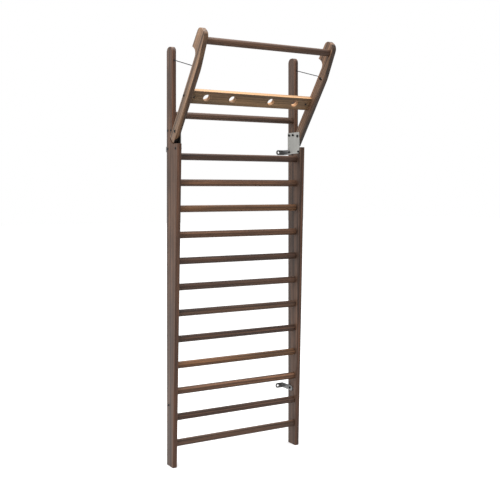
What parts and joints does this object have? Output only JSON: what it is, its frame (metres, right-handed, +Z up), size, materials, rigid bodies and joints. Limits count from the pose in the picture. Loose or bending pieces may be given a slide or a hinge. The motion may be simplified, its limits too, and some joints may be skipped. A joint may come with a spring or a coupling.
{
  "type": "wall bars with pull-up frame",
  "caption": "Wooden wall bars with round rungs between two posts and, at the top, a pull-up bar frame that folds out from the wall and hangs on two stay ropes.",
  "frame": {"origin": "on the wall, at floor level, on the centre line between the posts", "axes": "+X to the right along the rungs as seen from the room, +Y into the wall, +Z up"},
  "size_m": [0.8342, 0.5055, 2.3445],
  "materials": {
    "walnut": "semi-matt clear lacquer over walnut-stained timber",
    "plate_steel": "zinc-plated, satin",
    "bracket_steel": "galvanised, dull",
    "black_steel": "black oxide",
    "wire_rope": "galvanised wire rope"
  },
  "bodies": {
    "wall_bars": {"left_post": "walnut", "right_post": "walnut", "rung_01": "walnut", "rung_02": "walnut", "rung_03": "walnut", "rung_04": "walnut", "rung_05": "walnut", "rung_06": "walnut", "rung_07": "walnut", "rung_08": "walnut", "rung_09": "walnut", "rung_10": "walnut", "rung_11": "walnut", "rung_12": "walnut", "rung_13": "walnut", "left_hinge_plate": "plate_steel", "left_upper_bracket": "bracket_steel", "left_lower_bracket": "bracket_steel", "left_upper_rear_bolt": "black_steel", "left_upper_rear_nut": "black_steel", "left_upper_middle_bolt": "black_steel", "left_upper_middle_nut": "black_steel", "left_lower_rear_bolt": "black_steel", "left_lower_rear_nut": "black_steel", "left_lower_front_bolt": "black_steel", "left_lower_front_nut": "black_steel", "left_lower_bracket_bolt": "black_steel", "left_lower_bracket_nut": "black_steel", "left_pivot_bolt": "black_steel", "left_pivot_nut": "black_steel", "left_stay_rope": "wire_rope", "left_post_rope_stop": "bracket_steel", "right_hinge_plate": "plate_steel", "right_upper_bracket": "bracket_steel", "right_lower_bracket": "bracket_steel", "right_upper_rear_bolt": "black_steel", "right_upper_rear_nut": "black_steel", "right_upper_middle_bolt": "black_steel", "right_upper_middle_nut": "black_steel", "right_lower_rear_bolt": "black_steel", "right_lower_rear_nut": "black_steel", "right_lower_front_bolt": "black_steel", "right_lower_front_nut": "black_steel", "right_lower_bracket_bolt": "black_steel", "right_lower_bracket_nut": "black_steel", "right_pivot_bolt": "black_steel", "right_pivot_nut": "black_steel", "right_stay_rope": "wire_rope", "right_post_rope_stop": "bracket_steel"},
    "pull_up_frame": {"left_arm": "walnut", "right_arm": "walnut", "pull_up_bar": "walnut", "cross_board": "walnut", "left_board_bolt": "black_steel", "left_barrel_nut": "black_steel", "left_arm_rope_stop": "bracket_steel", "right_board_bolt": "black_steel", "right_barrel_nut": "black_steel", "right_arm_rope_stop": "bracket_steel"}
  },
  "joints": [
    {"name": "fold", "type": "hinge", "parent": "wall_bars", "child": "pull_up_frame", "pos_m": [0, -0.164, 1.834], "axis": [-1, 0, 0], "range_deg": [0, 37], "deforming": ["left_stay_rope", "right_stay_rope"]}
  ]
}
